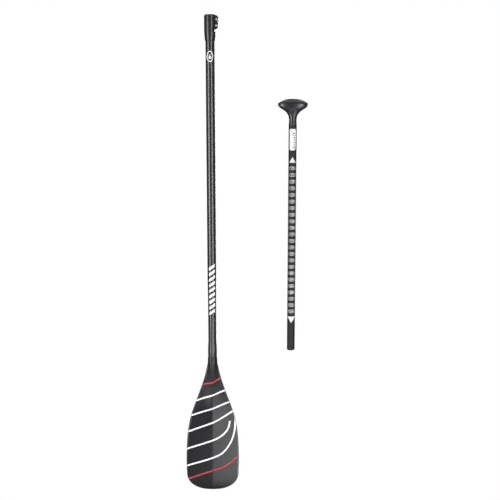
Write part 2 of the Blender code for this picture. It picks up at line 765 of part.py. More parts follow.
def build():
    clear_scene()
    carbon = material("carbon_shaft", (0.030, 0.031, 0.034), 0.32)
    blade_laminate = material("blade_laminate", (0.045, 0.046, 0.050), 0.35)
    plastic = material("moulded_plastic", (0.022, 0.022, 0.024), 0.42)
    liner = material("nylon_liner", (0.010, 0.010, 0.011), 0.60)
    steel = material("stainless_steel", (0.620, 0.620, 0.610), 0.28, 1.0)
    foam = material("closed_cell_foam", (0.800, 0.780, 0.700), 0.90)

    lower_shaft(carbon)
    shaft_ferrule(carbon)
    shaft_plug(foam)
    clamp_collar(plastic)
    collar_bush(liner)
    for place in BOLT_Z:
        clamp_bolt(place, steel)
        bolt_washer(place, steel)
    cam_plate(steel)
    lever_pivot_pin(steel)
    clamp_lever(plastic, empty("lever_pivot", (BOLT_X, PIN_Y, 0.0)))

    blade_skin("blade_front_skin", -1.0, FRONT_RIDGE, FRONT_SPINE_LENGTH, blade_laminate)
    blade_skin("blade_rear_skin", 1.0, REAR_RIDGE, REAR_SPINE_LENGTH, blade_laminate)
    blade_core(foam)
    blade_edge_rail(plastic)
    blade_spigot(carbon)

    axis = empty("handle_axis", (HANDLE_X, 0.0, 0.0))
    handle_tube(carbon, axis)
    tube_end_plug(plastic, axis)
    tube_float(foam, axis)
    grip_spigot(carbon, axis)
    grip_half("grip_front_half", -1.0, plastic, axis)
    grip_half("grip_rear_half", 1.0, plastic, axis)


build()
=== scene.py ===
"""The looks of the single blade paddle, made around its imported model.

The shafts, the clamp, the blade and the grip are built again as fine meshes that stand for their
plain CAD nodes. Prints are thin skins wrapped on those surfaces. The pieces inside keep their CAD
meshes and get new materials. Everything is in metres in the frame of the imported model: +Z up the
shafts, +X from the shaft to the handle tube, and -Y the face that carries the prints.
"""

import json
import math

import bmesh
import bpy
from mathutils import Matrix, Vector

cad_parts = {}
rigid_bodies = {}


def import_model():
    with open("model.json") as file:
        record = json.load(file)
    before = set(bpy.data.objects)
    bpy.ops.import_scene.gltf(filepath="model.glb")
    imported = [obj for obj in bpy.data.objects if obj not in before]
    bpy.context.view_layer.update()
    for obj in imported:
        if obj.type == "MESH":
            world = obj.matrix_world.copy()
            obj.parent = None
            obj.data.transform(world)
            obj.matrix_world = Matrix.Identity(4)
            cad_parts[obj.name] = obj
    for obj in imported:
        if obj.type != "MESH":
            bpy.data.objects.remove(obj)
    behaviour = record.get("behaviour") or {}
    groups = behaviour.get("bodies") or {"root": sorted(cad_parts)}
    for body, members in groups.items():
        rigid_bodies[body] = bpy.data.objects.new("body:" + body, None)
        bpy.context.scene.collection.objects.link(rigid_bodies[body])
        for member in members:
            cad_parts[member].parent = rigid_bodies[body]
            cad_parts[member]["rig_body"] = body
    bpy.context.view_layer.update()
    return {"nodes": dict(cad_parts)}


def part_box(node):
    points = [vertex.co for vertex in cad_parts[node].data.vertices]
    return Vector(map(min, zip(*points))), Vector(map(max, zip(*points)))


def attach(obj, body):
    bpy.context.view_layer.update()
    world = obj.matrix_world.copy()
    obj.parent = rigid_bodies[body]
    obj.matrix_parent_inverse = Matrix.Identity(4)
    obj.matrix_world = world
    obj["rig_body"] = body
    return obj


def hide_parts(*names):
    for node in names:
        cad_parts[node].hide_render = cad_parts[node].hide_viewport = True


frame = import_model()

# Clearance between parts, width of a tow in the carbon weave, and thickness of a print
GAP = 0.0003
TOW = 0.0021
PRINT_THICKNESS = 0.00008
# Facets round a turned piece, and how far a cutting tool reaches past what it cuts
SEGMENTS = 128
PAST = 0.0100

# The frame's own measures
SHAFT_LOW, SHAFT_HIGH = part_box("lower_shaft")
COLLAR_LOW, COLLAR_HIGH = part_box("clamp_collar")
BUSH_LOW, BUSH_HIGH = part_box("collar_bush")
PIN_LOW, PIN_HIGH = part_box("lever_pivot_pin")
LEVER_LOW, LEVER_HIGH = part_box("clamp_lever")
TUBE_LOW, TUBE_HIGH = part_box("handle_tube")
END_LOW, END_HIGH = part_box("tube_end_plug")
GRIP_TOP_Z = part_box("grip_front_half")[1].z
BLADE_TOP_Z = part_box("blade_front_skin")[1].z
BLADE_TIP_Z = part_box("blade_edge_rail")[0].z

# Shaft and ferrule
SHAFT_RADIUS = SHAFT_HIGH.x
SHAFT_WALL = 0.0010
SHAFT_FOOT_RADIUS = SHAFT_RADIUS - 0.0009
SHAFT_TAPER_Z = (-0.6900, -0.7950)
SHAFT_TOWS = 40
FERRULE_TOP_Z = -0.9150
# The belly's height above the ferrule's foot, and the wall at its top and at its belly
FERRULE_BELLY = 0.0100
FERRULE_WALLS = (0.0004, 0.0010)

# Clamp collar and bush
COLLAR_RADIUS = -COLLAR_LOW.x
COLLAR_FOOT_RADIUS = 0.0151
COLLAR_BORE = 0.0139
SLEEVE_BORE = SHAFT_RADIUS + GAP
SLEEVE_TOP_Z = SHAFT_HIGH.z + 2 * GAP
FLEX_SLOT_Z = (0.0258, 0.0304)
FLEX_SLOT_X = 0.0060
SLIT_WIDTH = 0.0030
EAR_X = COLLAR_HIGH.x
EAR_Y = 0.0100
EAR_FOOT_Z = 0.0310
# (radius, height of its centre, angle where its slope starts) of each rounded ear corner
EAR_FOOT = (0.0090, 0.0401, -59.0)
EAR_SHOULDER = (0.0080, 0.0642, 56.0)
BUSH_BORE = SHAFT_RADIUS - SHAFT_WALL
BUSH_SLIT = 0.0020

# Clamp bolts, the pin that they screw into, and the cam lever round the pin
BOLT_X = (PIN_LOW.x + PIN_HIGH.x) / 2
BOLT_Z = {"upper": 0.0604, "lower": 0.0430}
BOLT_RADIUS = 0.0015
BOLT_CHAMFER = 0.0003
BOLT_HOLE = 0.0018
HEAD_RADIUS = 0.00275
HEAD_HEIGHT = 0.0030
HEAD_CHAMFER = 0.0004
KNURLS = 36
KNURL_DEPTH = 0.00012
SOCKET_RADIUS = 0.00145
SOCKET_DEPTH = 0.0016
PIN_Y = (PIN_LOW.y + PIN_HIGH.y) / 2
PIN_RADIUS = 0.0026
CAM_RADIUS = 0.0047
CAM_OFFSET = 0.0005
CAM_ARC = (215.0, 450.0)
# The lever's inner and outer faces: radii, where they leave the cam and end, and its thumb lip
LEVER_RADII = (0.0196, 0.0232)
LEVER_START_ANGLES = (62.0, 66.0)
LEVER_TIP_ANGLE = 124.0
LEVER_LIP_RADII = (0.0216, 0.0244)
LEVER_LIP_ANGLES = (129.0, 132.0)
# Slots in the cam for the bolts: half height, and how far in and out of the pin's axis they go
LEVER_SLOT_HALF = 0.0023
LEVER_SLOT_X = (0.0030, 0.0097)

# Handle section
TUBE_X = (TUBE_LOW.x + TUBE_HIGH.x) / 2
TUBE_RADIUS = (TUBE_HIGH.x - TUBE_LOW.x) / 2
TUBE_WALL = 0.0010
TUBE_BORE = TUBE_RADIUS - TUBE_WALL
TUBE_TOWS = 36
PLUG_BEVEL = 0.0028
# The shallow dish in the plug's foot: its radius, the width of its sloped rim, and its depth
PLUG_DISH = (0.0045, 0.0006, 0.0004)
PLUG_CHAMFER = 0.0004


# ---------------------------------------------------------------- mesh tools


def smoothstep(value, start, length):
    """0 up to START, 1 from START + LENGTH on, and a smooth step between them."""
    t = min(max((value - start) / length, 0.0), 1.0)
    return t * t * (3.0 - 2.0 * t)


def arc(radius, start, end, steps, centre=(0.0, 0.0)):
    """Points along an arc, angles in degrees, both ends included."""
    angles = [math.radians(start + (end - start) * i / steps) for i in range(steps + 1)]
    return [(centre[0] + radius * math.cos(a), centre[1] + radius * math.sin(a)) for a in angles]


def smooth_curve(table, value, column):
    """COLUMN of a table at VALUE of its first column, on a smooth curve through its rows."""
    last = len(table) - 2
    i = next((k for k in range(last) if value <= table[k + 1][0]), last)

    def slope(k):
        low, high = table[max(k - 1, 0)], table[min(k + 1, last + 1)]
        return (high[column] - low[column]) / (high[0] - low[0])

    span = table[i + 1][0] - table[i][0]
    t = (value - table[i][0]) / span
    start, end = slope(i) * span, slope(i + 1) * span
    first = table[i][column]
    rise = table[i + 1][column] - first
    return first + t * (start + t * (3 * rise - 2 * start - end + t * (start + end - 2 * rise)))


def direction(points, i):
    """The unit direction along a line of (a, b) points at its point I."""
    before, after = points[max(i - 1, 0)], points[min(i + 1, len(points) - 1)]
    da, db = after[0] - before[0], after[1] - before[1]
    length = math.hypot(da, db)
    return da / length, db / length


def make_object(name, bm, mat, sharp=35.0):
    """An object from a bmesh, smooth except at edges of more than SHARP degrees."""
    bmesh.ops.remove_doubles(bm, verts=bm.verts, dist=1e-7)
    bmesh.ops.recalc_face_normals(bm, faces=bm.faces)
    mesh = bpy.data.meshes.new(name)
    bm.to_mesh(mesh)
    bm.free()
    mesh.materials.append(mat)
    mesh.shade_smooth()
    mesh.set_sharp_from_angle(angle=math.radians(sharp))
    obj = bpy.data.objects.new(name, mesh)
    bpy.context.scene.collection.objects.link(obj)
    return obj


def stand_in(obj, node):
    """OBJ is shown for one CAD node, on that node's body."""
    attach(obj, frame["nodes"][node]["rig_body"])
    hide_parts(node)


def lathe(profile, closed=True, segments=SEGMENTS, axis_x=0.0):
    """Turns (radius, z) points round an upright axis. An open profile ends on the axis."""
    bm = bmesh.new()
    rings = []
    for radius, z in profile:
        if radius == 0.0:
            rings.append([bm.verts.new((axis_x, 0.0, z))] * segments)
            continue
        ring = arc(radius, 0.0, 360.0, segments, (axis_x, 0.0))[:-1]
        rings.append([bm.verts.new((x, y, z)) for x, y in ring])
    pairs = list(zip(rings, rings[1:]))
    if closed:
        pairs.append((rings[-1], rings[0]))
    for low, high in pairs:
        for i in range(segments):
            j = (i + 1) % segments
            bm.faces.new(list(dict.fromkeys((low[i], low[j], high[j], high[i]))))
    return bm


def prism(outline, low, high, axis="Z"):
    """Extrudes a plan outline from LOW to HIGH along Z, or an (x, z) outline along Y."""
    bm = bmesh.new()
    place = {"Z": lambda a, b, c: (a, b, c), "Y": lambda a, b, c: (a, c, b)}[axis]
    bottom = [bm.verts.new(place(a, b, low)) for a, b in outline]
    top = [bm.verts.new(place(a, b, high)) for a, b in outline]
    bm.faces.new(bottom)
    bm.faces.new(top)
    for i in range(len(outline)):
        j = (i + 1) % len(outline)
        bm.faces.new((bottom[i], bottom[j], top[j], top[i]))
    return bm


def block(x, y, z):
    """A box, given as the (low, high) pair of each axis."""
    return prism(((x[0], y[0]), (x[1], y[0]), (x[1], y[1]), (x[0], y[1])), z[0], z[1])


def rod_along_y(radius, x, z, y, segments=48):
    """A rod between the two values of Y."""
    bm = bmesh.new()
    turn = Matrix.Rotation(math.radians(90), 4, "X")
    middle = Matrix.Translation((x, (y[0] + y[1]) / 2, z))
    bmesh.ops.create_cone(bm, cap_ends=True, segments=segments, radius1=radius, radius2=radius,
                          depth=y[1] - y[0], matrix=middle @ turn)
    return bm


def ladder_loft(rows):
    """Closes a solid between two lofted faces. Each row is a pair of point lists of one length."""
    bm = bmesh.new()
    grid = [[[bm.verts.new(p) for p in side] for side in row] for row in rows]
    for (near_a, near_b), (far_a, far_b) in zip(grid, grid[1:]):
        for i in range(len(near_a) - 1):
            bm.faces.new((near_a[i], near_a[i + 1], far_a[i + 1], far_a[i]))
            bm.faces.new((near_b[i], far_b[i], far_b[i + 1], near_b[i + 1]))
        for i in (0, -1):
            bm.faces.new((near_a[i], far_a[i], far_b[i], near_b[i]))
    for side_a, side_b in (grid[0], grid[-1]):
        for i in range(len(side_a) - 1):
            bm.faces.new((side_a[i], side_b[i], side_b[i + 1], side_a[i + 1]))
    return bm


def settle(obj):
    """Applies the object's modifiers to its mesh."""
    seen = obj.evaluated_get(bpy.context.evaluated_depsgraph_get())
    mesh = bpy.data.meshes.new_from_object(seen)
    obj.modifiers.clear()
    obj.data = mesh


def even_shading(obj):
    """Keeps the small rounded edges from bending the light on the large faces beside them."""
    modifier = obj.modifiers.new("even_shading", "WEIGHTED_NORMAL")
    modifier.keep_sharp = True
    settle(obj)


def carve(obj, *steps):
    """Runs exact Booleans on the object, each given as (operation, bmesh)."""
    helpers = []
    for operation, bm in steps:
        helper = make_object("helper", bm, obj.data.materials[0])
        modifier = obj.modifiers.new("carve", "BOOLEAN")
        modifier.operation = operation
        modifier.solver = "EXACT"
        modifier.object = helper
        helpers.append(helper)
    settle(obj)
    for helper in helpers:
        bpy.data.objects.remove(helper)


def round_edges(obj, width, segments=2):
    """Rounds the sharp edges that the Booleans leave."""
    bevel = obj.modifiers.new("round_edges", "BEVEL")
    bevel.width = width
    bevel.segments = segments
    bevel.limit_method = "ANGLE"
    bevel.angle_limit = math.radians(38)
    bevel.use_clamp_overlap = True
    bevel.miter_outer = "MITER_ARC"
    settle(obj)
    obj.data.shade_smooth()
    obj.data.set_sharp_from_angle(angle=math.radians(40))
    even_shading(obj)


def wrap_uv(obj, axis_x, tows):
    """A UV map in metres, round an upright axis and up it, with a whole number of tows round."""
    mesh = obj.data
    layer = mesh.uv_layers.new(name="metres")
    around = tows * TOW / (2 * math.pi)
    for face in mesh.polygons:
        middle = math.atan2(face.center.y, face.center.x - axis_x)
        for loop in face.loop_indices:
            co = mesh.vertices[mesh.loops[loop].vertex_index].co
            turn = math.atan2(co.y, co.x - axis_x) - middle
            turn = (turn + math.pi) % (2 * math.pi) - math.pi
            layer.data[loop].uv = ((middle + turn) * around, co.z)


def flat_uv(obj):
    """A UV map in metres straight through the object's face."""
    mesh = obj.data
    layer = mesh.uv_layers.new(name="metres")
    for loop in mesh.loops:
        co = mesh.vertices[loop.vertex_index].co
        layer.data[loop.index].uv = (co.x, co.z)


# ---------------------------------------------------------------- materials


class Finish:
    """One Principled material and its node tree, with short calls for the nodes used here."""

    def __init__(self, name, colour, roughness, **uniform):
        """UNIFORM gives other shader sockets by name, with _ for a space."""
        self.mat = bpy.data.materials.new(name)
        self.mat.use_nodes = True
        self.tree = self.mat.node_tree
        self.shader = self.tree.nodes["Principled BSDF"]
        self.set("Base Color", (*colour, 1.0))
        self.set("Roughness", roughness)
        for socket, value in uniform.items():
            self.set(socket.replace("_", " "), value)

    def set(self, socket, value):
        """Sets a shader socket to a number or colour, or links it to a node's output."""
        if isinstance(value, bpy.types.NodeSocket):
            self.tree.links.new(value, self.shader.inputs[socket])
        else:
            self.shader.inputs[socket].default_value = value

    def add(self, kind, inputs, output=0, **settings):
        """Adds a node, fills its inputs by name or number, and returns one of its outputs."""
        node = self.tree.nodes.new(kind)
        for key, value in settings.items():
            setattr(node, key, value)
        for socket, value in inputs.items():
            if isinstance(value, bpy.types.NodeSocket):
                self.tree.links.new(value, node.inputs[socket])
            else:
                node.inputs[socket].default_value = value
        return node.outputs[output]

    def math(self, operation, a, b=0.0):
        return self.add("ShaderNodeMath", {0: a, 1: b}, operation=operation)

    def blend(self, factor, a, b):
        """A colour between A and B."""
        return self.add("ShaderNodeMix", {0: factor, 6: (*a, 1.0), 7: (*b, 1.0)}, 2,
                        data_type="RGBA")

    def between(self, factor, a, b):
        """A number between A and B."""
        return self.add("ShaderNodeMapRange", {0: factor, 3: a, 4: b})

    def place(self, stretch=(1.0, 1.0, 1.0)):
        """Object coordinates in metres, stretched."""
        where = self.add("ShaderNodeTexCoord", {}, 3)
        return self.add("ShaderNodeMapping", {0: where, 3: stretch})

    def noise(self, size, detail=3.0, stretch=(1.0, 1.0, 1.0)):
        """Noise from 0 to 1 with patches of about SIZE metres."""
        where = self.place(stretch)
        return self.add("ShaderNodeTexNoise", {"Vector": where, "Scale": 1.0 / size,
                                               "Detail": detail})

    def height(self, low, high):
        """Rises from 0 to 1 between two heights."""
        split = self.add("ShaderNodeSeparateXYZ", {0: self.place()}, 2)
        return self.add("ShaderNodeMapRange", {0: split, 1: low, 2: high})

    def bump(self, height, depth, strength=1.0):
        """Relief of DEPTH metres."""
        normal = self.add("ShaderNodeBump", {"Strength": strength, "Distance": depth,
                                             "Height": height})
        self.set("Normal", normal)


# Roughness of the dull resin in a laminate's matte band
MATTE_ROUGHNESS = 0.65


def twill(finish):
    """A 2x2 twill of TOW-wide tows: (1 where the tow runs up, height of the tows)."""
    uv = finish.add("ShaderNodeUVMap", {}, uv_map="metres")
    split = finish.add("ShaderNodeSeparateXYZ", {0: uv}, 0)
    across, up = split.node.outputs[0], split.node.outputs[1]
    across = finish.math("MULTIPLY", across, 1.0 / TOW)
    up = finish.math("MULTIPLY", up, 1.0 / TOW)
    step = finish.math("SUBTRACT", finish.math("FLOOR", across), finish.math("FLOOR", up))
    runs_up = finish.math("LESS_THAN", finish.math("FLOORED_MODULO", step, 4.0), 2.0)

    def bulge(value):
        part = finish.math("FRACT", value)
        return finish.math("MULTIPLY", part, finish.math("SUBTRACT", 1.0, part))

    height = finish.add("ShaderNodeMix", {0: runs_up, 2: bulge(up), 3: bulge(across)})
    return runs_up, finish.math("MULTIPLY", height, 4.0)


def laminate(name, dark, light, roughness, depth, specular, matte=None):
    """Woven carbon under resin. MATTE is where dull resin fades in and out, as four heights."""
    finish = Finish(name, dark, roughness[0], Specular_IOR_Level=specular)
    runs_up, height = twill(finish)
    grain = finish.noise(0.0012, 4.0)
    tone = finish.math("MULTIPLY", runs_up, finish.between(grain, 0.55, 1.0))
    finish.set("Base Color", finish.blend(tone, dark, light))
    patchy = finish.math("ADD", finish.math("MULTIPLY", runs_up, 0.5),
                         finish.math("MULTIPLY", finish.noise(0.02, 2.0), 0.5))
    gloss = finish.between(patchy, *roughness)
    if matte:
        band = finish.math("SUBTRACT", finish.height(*matte[:2]), finish.height(*matte[2:]))
        gloss = finish.add("ShaderNodeMix", {0: band, 2: gloss, 3: MATTE_ROUGHNESS})
    finish.set("Roughness", gloss)
    finish.bump(height, depth, 0.5)
    return finish.mat


def moulded(name, dark, light, roughness, grain, depth):
    """Moulded plastic with a fine grain and slightly uneven gloss."""
    finish = Finish(name, dark, roughness[0])
    broad = finish.noise(0.012, 3.0)
    finish.set("Base Color", finish.blend(broad, dark, light))
    finish.set("Roughness", finish.between(broad, *roughness))
    finish.bump(finish.noise(grain, 5.0), depth)
    return finish.mat


def ink(name, colour, shade, roughness):
    """Screen-printed ink, a little uneven."""
    finish = Finish(name, colour, roughness[0])
    speckle = finish.noise(0.0006, 4.0)
    finish.set("Base Color", finish.blend(speckle, shade, colour))
    finish.set("Roughness", finish.between(speckle, *roughness))
    finish.bump(speckle, 0.00001)
    return finish.mat


def turned_steel():
    """Stainless steel with fine turning marks."""
    finish = Finish("stainless_steel", (0.58, 0.58, 0.57), 0.45, Metallic=1.0)
    rings = finish.noise(0.0004, 2.0, (1.0, 0.1, 1.0))
    finish.set("Base Color", finish.blend(rings, (0.51, 0.51, 0.50), (0.65, 0.65, 0.64)))
    finish.set("Roughness", finish.between(rings, 0.42, 0.58))
    finish.bump(rings, 0.00002)
    return finish.mat


def closed_cell_foam():
    """Pale foam with cells of about a millimetre."""
    finish = Finish("closed_cell_foam", (0.80, 0.78, 0.70), 0.9)
    cells = finish.add("ShaderNodeTexVoronoi", {"Vector": finish.place(), "Scale": 900.0})
    finish.set("Base Color", finish.blend(cells, (0.62, 0.60, 0.52), (0.84, 0.82, 0.74)))
    finish.bump(cells, 0.0003)
    return finish.mat


CARBON = laminate("carbon_shaft", (0.011, 0.011, 0.012), (0.014, 0.014, 0.015),
                  roughness=(0.30, 0.31), depth=0.000003, specular=0.65)
TUBE_CARBON = laminate("carbon_tube", (0.010, 0.010, 0.011), (0.014, 0.014, 0.015),
                       roughness=(0.50, 0.56), depth=0.00001, specular=0.25)
BLADE_CARBON = laminate("blade_laminate", (0.010, 0.010, 0.011), (0.013, 0.013, 0.014),
                        roughness=(0.27, 0.29), depth=0.000005, specular=0.3,
                        matte=(-1.12, -1.05, -1.005, -0.985))
PLASTIC = moulded("moulded_plastic", (0.010, 0.010, 0.011), (0.014, 0.014, 0.015),
                  roughness=(0.29, 0.32), grain=0.0005, depth=0.000003)
GRIP_PLASTIC = moulded("grip_plastic", (0.012, 0.012, 0.014), (0.016, 0.016, 0.018),
                       roughness=(0.32, 0.34), grain=0.0007, depth=0.000001)
NYLON = moulded("nylon_liner", (0.004, 0.004, 0.004), (0.006, 0.006, 0.006),
                roughness=(0.55, 0.65), grain=0.0004, depth=0.00002)
STEEL = turned_steel()
FOAM = closed_cell_foam()
WHITE_INK = ink("white_ink", (0.86, 0.86, 0.87), (0.78, 0.78, 0.79), (0.38, 0.50))
RED_INK = ink("red_ink", (0.40, 0.036, 0.052), (0.33, 0.030, 0.044), (0.38, 0.50))
GREY_INK = ink("grey_ink", (0.08, 0.08, 0.10), (0.06, 0.06, 0.08), (0.45, 0.55))
LABEL_FILM = ink("label_film", (0.91, 0.91, 0.92), (0.89, 0.89, 0.90), (0.32, 0.40))


# ---------------------------------------------------------------- shafts


def shaft_radius(z):
    """The lower shaft's outer radius at height Z."""
    taper = smoothstep(-z, -SHAFT_TAPER_Z[0], SHAFT_TAPER_Z[0] - SHAFT_TAPER_Z[1])
    return SHAFT_RADIUS - (SHAFT_RADIUS - SHAFT_FOOT_RADIUS) * taper


def tube_wall(outside, wall, lip):
    """A closed tube profile inside an outline of (radius, z) points, with rounded end edges."""
    top, foot = outside[0], outside[-1]
    return ([(top[0] - lip, top[1]), (top[0] - lip * 0.3, top[1] - lip * 0.3),
             (top[0], top[1] - lip)] + outside[1:-1]
            + [(foot[0], foot[1] + lip), (foot[0] - lip * 0.3, foot[1] + lip * 0.3),
               (foot[0] - lip, foot[1])]
            + [(r - wall, z) for r, z in reversed(outside)])


def make_shaft():
    """The lower section's tube, narrower over its last 20 cm."""
    steps = 12
    taper = [SHAFT_TAPER_Z[0] + (SHAFT_TAPER_Z[1] - SHAFT_TAPER_Z[0]) * i / steps
             for i in range(steps + 1)]
    heights = [SHAFT_HIGH.z, *taper, SHAFT_LOW.z]
    outside = [(shaft_radius(z), z) for z in heights]
    profile = tube_wall(outside, SHAFT_WALL, lip=0.0002)
    obj = make_object("lower_shaft_fine", lathe(profile), CARBON)
    even_shading(obj)
    wrap_uv(obj, 0.0, SHAFT_TOWS)
    stand_in(obj, "lower_shaft")


def make_ferrule():
    """The overwrapped band at the shaft's foot, thickest near the blade."""
    bore = SHAFT_FOOT_RADIUS + GAP
    foot = BLADE_TOP_Z + GAP
    top_wall, belly_wall = FERRULE_WALLS
    fall = FERRULE_TOP_Z - foot - FERRULE_BELLY
    steps = 10
    swell = []
    for i in range(1, steps + 1):
        wall = top_wall + (belly_wall - top_wall) * smoothstep(i / steps, 0.0, 1.0)
        swell.append((bore + wall, FERRULE_TOP_Z - fall * i / steps))
    half = belly_wall / 2
    lip = arc(half, 0.0, -75.0, 6, (bore + half, foot + half))
    profile = [(bore, FERRULE_TOP_Z), (bore + top_wall / 2, FERRULE_TOP_Z), *swell, *lip,
               (bore, foot)]
    obj = make_object("shaft_ferrule_fine", lathe(profile), CARBON)
    even_shading(obj)
    wrap_uv(obj, 0.0, SHAFT_TOWS)
    stand_in(obj, "shaft_ferrule")


def make_tube():
    """The handle section's tube."""
    outside = [(TUBE_RADIUS, TUBE_HIGH.z), (TUBE_RADIUS, TUBE_LOW.z)]
    profile = tube_wall(outside, TUBE_WALL, lip=0.0001)
    obj = make_object("handle_tube_fine", lathe(profile, axis_x=TUBE_X), TUBE_CARBON)
    even_shading(obj)
    wrap_uv(obj, TUBE_X, TUBE_TOWS)
    stand_in(obj, "handle_tube")


def make_end_plug():
    """The rounded foot of the handle tube, with a shallow dish and a stem inside the tube."""
    stem = TUBE_BORE - GAP
    rim = TUBE_LOW.z - GAP
    low, high = END_LOW.z, END_HIGH.z
    dish, slope, depth = PLUG_DISH
    foot = arc(PLUG_BEVEL, -90.0, 0.0, 16, (TUBE_RADIUS - PLUG_BEVEL, low + PLUG_BEVEL))
    profile = [(0.0, low + depth), (dish, low + depth), (dish + slope / 2, low + depth / 2),
               (dish + slope, low), *foot, (TUBE_RADIUS, rim), (stem, rim),
               (stem, high - PLUG_CHAMFER), (stem - PLUG_CHAMFER, high), (0.0, high)]
    bm = lathe(profile, closed=False, axis_x=TUBE_X)
    obj = make_object("tube_end_plug_fine", bm, PLASTIC)
    even_shading(obj)
    stand_in(obj, "tube_end_plug")


# ---------------------------------------------------------------- clamp


def ear_outline():
    """The ears from the front, as (x, z): round corners, a sloped shoulder and a sloped foot."""

    def corner(radius, z, slope, start, end):
        points = arc(radius, start, end, 20, (EAR_X - radius, z))
        x, height = points[0] if slope < 0.0 else points[-1]
        level = EAR_FOOT_Z if slope < 0.0 else COLLAR_HIGH.z
        run = (level - height) * math.tan(math.radians(slope))
        return points, (x - run, level)

    foot, foot_end = corner(*EAR_FOOT, EAR_FOOT[2], 0.0)
    shoulder, shoulder_end = corner(*EAR_SHOULDER, 0.0, EAR_SHOULDER[2])
    return [(0.0, EAR_FOOT_Z), foot_end, *foot, *shoulder, shoulder_end, (0.0, COLLAR_HIGH.z)]


def make_collar():
    """A sleeve on the shaft below, and a split ring with two ears above."""
    rim = 0.0008
    top = arc(rim, 0.0, 90.0, 6, (COLLAR_RADIUS - rim, COLLAR_HIGH.z - rim))
    foot = arc(rim, -90.0, 0.0, 6, (COLLAR_FOOT_RADIUS - rim, rim))
    outside = [(0.0, 0.0), *foot, (COLLAR_RADIUS, FLEX_SLOT_Z[0]), *top, (0.0, COLLAR_HIGH.z)]
    obj = make_object("clamp_collar_fine", lathe(outside, closed=False), PLASTIC)
    above, wide = COLLAR_HIGH.z + PAST, EAR_X + PAST
    bore = ((0.0, -PAST), (SLEEVE_BORE, -PAST), (SLEEVE_BORE, SLEEVE_TOP_Z),
            (COLLAR_BORE, SLEEVE_TOP_Z), (COLLAR_BORE, above), (0.0, above))
    half = SLIT_WIDTH / 2
    slot = block((FLEX_SLOT_X, wide), (-wide, wide), FLEX_SLOT_Z)
    slit = block((FLEX_SLOT_X, wide), (-half, half), (sum(FLEX_SLOT_Z) / 2, above))
    holes = [rod_along_y(BOLT_HOLE, BOLT_X, z, (-EAR_Y - PAST, EAR_Y + PAST))
             for z in BOLT_Z.values()]
    carve(obj, ("UNION", prism(ear_outline(), -EAR_Y, EAR_Y, "Y")),
          ("DIFFERENCE", lathe(bore, closed=False)), ("DIFFERENCE", slot),
          ("DIFFERENCE", slit), *(("DIFFERENCE", hole) for hole in holes))
    round_edges(obj, 0.0005, 3)
    stand_in(obj, "clamp_collar")


def make_bush():
    """The split liner in the collar's mouth."""
    outer, flange = COLLAR_BORE - GAP, BUSH_HIGH.y
    low, seat, top = BUSH_LOW.z, COLLAR_HIGH.z + GAP, BUSH_HIGH.z
    lead = 0.0006
    lip = arc(lead, 0.0, 90.0, 5, (flange - lead, top - lead))
    mouth = arc(lead, 90.0, 180.0, 5, (BUSH_BORE + lead, top - lead))
    profile = [(BUSH_BORE, low), (outer, low), (outer, seat), (flange, seat), *lip, *mouth]
    obj = make_object("collar_bush_fine", lathe(profile), NYLON)
    half = BUSH_SLIT / 2
    carve(obj, ("DIFFERENCE", block((0.0, 2 * flange), (-half, half), (0.0, 2 * top))))
    stand_in(obj, "collar_bush")


def make_bolt(place):
    """A socket-head bolt with a knurled, chamfered head."""
    node = "clamp_bolt_" + place
    low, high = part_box(node)
    z, face = BOLT_Z[place], low.y
    length = high.y - face
    rows = ((0.0, 0.0), (HEAD_RADIUS - HEAD_CHAMFER, 0.0), (HEAD_RADIUS, HEAD_CHAMFER),
            (HEAD_RADIUS, HEAD_HEIGHT), (BOLT_RADIUS, HEAD_HEIGHT),
            (BOLT_RADIUS, length - BOLT_CHAMFER), (BOLT_RADIUS - BOLT_CHAMFER, length),
            (0.0, length))
    bm = lathe(rows, closed=False, segments=2 * KNURLS)
    for vert in bm.verts:
        radius = math.hypot(vert.co.x, vert.co.y)
        groove = round(math.atan2(vert.co.y, vert.co.x) * KNURLS / math.pi) % 2
        if groove and radius > HEAD_RADIUS - HEAD_CHAMFER / 2:
            vert.co.x *= 1 - KNURL_DEPTH / radius
            vert.co.y *= 1 - KNURL_DEPTH / radius
    lay_down = Matrix.Translation((BOLT_X, face, z)) @ Matrix.Rotation(math.radians(-90), 4, "X")
    bmesh.ops.transform(bm, matrix=lay_down, verts=bm.verts)
    obj = make_object(node + "_fine", bm, STEEL, 25.0)
    socket = rod_along_y(SOCKET_RADIUS, BOLT_X, z, (face - PAST, face + SOCKET_DEPTH), 6)
    carve(obj, ("DIFFERENCE", socket))
    stand_in(obj, node)


def make_lever():
    """Three cam knuckles on the pin, and a curved handle that lies round the collar's back."""
    inner, outer = LEVER_RADII
    inner_start, outer_start = LEVER_START_ANGLES
    lip_inner, lip_outer = LEVER_LIP_RADII
    lip_start, lip_end = LEVER_LIP_ANGLES
    cam = arc(CAM_RADIUS, *CAM_ARC, 40, (BOLT_X, PIN_Y - CAM_OFFSET))
    back = arc(outer, outer_start, LEVER_TIP_ANGLE, 40)
    lip = arc(lip_outer, lip_start, lip_end, 3) + arc(lip_inner, lip_end, lip_start, 1)[:1]
    front = arc(inner, LEVER_TIP_ANGLE, inner_start, 40)
    plan = cam + back + lip + front
    obj = make_object("clamp_lever_fine", prism(plan, LEVER_LOW.z, LEVER_HIGH.z), PLASTIC)
    bore = prism(arc(PIN_RADIUS + GAP, 0.0, 360.0, 48, (BOLT_X, PIN_Y))[:-1],
                 LEVER_LOW.z - PAST / 2, LEVER_HIGH.z + PAST / 2)
    inward, outward = LEVER_SLOT_X
    slots = [block((BOLT_X - inward, BOLT_X + outward), (PIN_Y - outward, PIN_Y + outward),
                   (z - LEVER_SLOT_HALF, z + LEVER_SLOT_HALF)) for z in BOLT_Z.values()]
    carve(obj, ("DIFFERENCE", bore), *(("DIFFERENCE", slot) for slot in slots))
    round_edges(obj, 0.0004, 2)
    stand_in(obj, "clamp_lever")


# ---------------------------------------------------------------- blade

